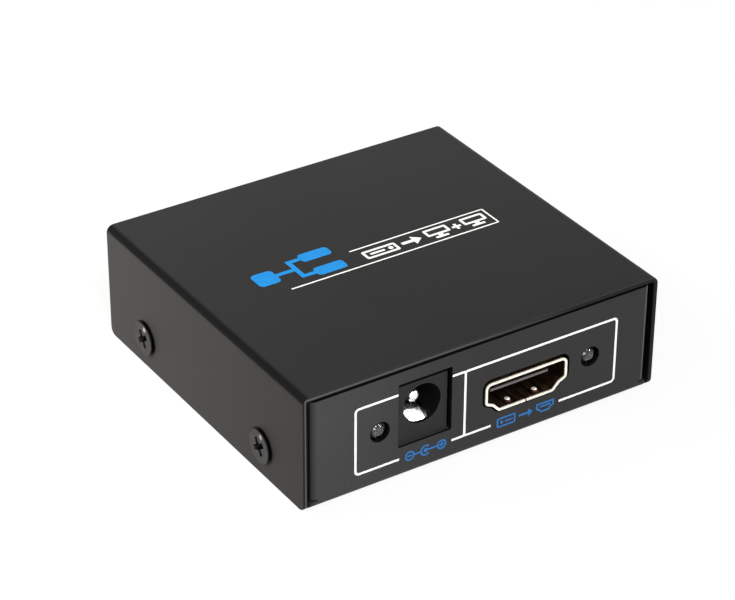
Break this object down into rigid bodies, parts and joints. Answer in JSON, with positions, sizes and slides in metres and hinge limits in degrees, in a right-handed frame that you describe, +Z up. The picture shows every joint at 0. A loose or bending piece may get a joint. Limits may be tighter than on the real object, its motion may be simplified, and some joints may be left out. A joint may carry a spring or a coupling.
{
  "type": "video splitter",
  "caption": "Small folded-steel splitter box with a barrel power jack, a video input and indicator lights in front, and its outputs in the rear panel.",
  "frame": {"origin": "middle of the underside, at the bottom centre of the bounding box", "axes": "+X to the right along the front panel as seen from the front, +Y from the front panel to the rear panel, +Z up through the roof"},
  "size_m": [0.0636, 0.0576, 0.0195],
  "materials": {
    "cover_paint": "fine matte powder coat",
    "tray_paint": "fine matte powder coat",
    "black_screw_steel": "black oxide",
    "zinc_steel": "zinc plated",
    "board_laminate": "solder mask",
    "shell_metal": "nickel plated",
    "contact_gold": "gold plated",
    "tinned_copper": "tinned",
    "socket_plastic": "moulded",
    "jack_plastic": "moulded",
    "lens_epoxy": "clear",
    "chip_plastic": "moulded",
    "ferrite": "sintered",
    "can_aluminium": "drawn",
    "resistor_ceramic": "glazed",
    "capacitor_ceramic": "fired ceramic"
  },
  "bodies": {
    "root": {"top_cover": "cover_paint", "bottom_tray": "tray_paint", "cover_screws": "black_screw_steel", "board_standoffs": "zinc_steel", "board_screws": "zinc_steel", "circuit_board": "board_laminate", "jack_housing": "jack_plastic", "jack_centre_pin": "zinc_steel", "jack_leaf_contact": "tinned_copper", "jack_shunt_contact": "tinned_copper", "input_socket_shell": "shell_metal", "input_socket_insulator": "socket_plastic", "input_socket_contacts": "contact_gold", "output_1_socket_shell": "shell_metal", "output_1_socket_insulator": "socket_plastic", "output_1_socket_contacts": "contact_gold", "output_2_socket_shell": "shell_metal", "output_2_socket_insulator": "socket_plastic", "output_2_socket_contacts": "contact_gold", "power_light_lens": "lens_epoxy", "power_light_leads": "tinned_copper", "input_light_lens": "lens_epoxy", "input_light_leads": "tinned_copper", "output_1_light_lens": "lens_epoxy", "output_1_light_leads": "tinned_copper", "output_2_light_lens": "lens_epoxy", "output_2_light_leads": "tinned_copper", "splitter_chip": "chip_plastic", "splitter_chip_leads": "tinned_copper", "memory_chips": "chip_plastic", "memory_chip_leads": "tinned_copper", "switching_regulator": "chip_plastic", "switching_regulator_leads": "tinned_copper", "linear_regulator": "chip_plastic", "linear_regulator_leads": "tinned_copper", "power_diode": "chip_plastic", "power_diode_leads": "tinned_copper", "protection_arrays": "chip_plastic", "protection_array_leads": "tinned_copper", "power_inductor": "ferrite", "inductor_terminals": "tinned_copper", "capacitor_cans": "can_aluminium", "capacitor_bases": "chip_plastic", "crystal_lid": "can_aluminium", "crystal_base": "chip_plastic", "chip_resistors": "resistor_ceramic", "chip_capacitors": "capacitor_ceramic", "chip_end_caps": "tinned_copper"}
  },
  "joints": []
}
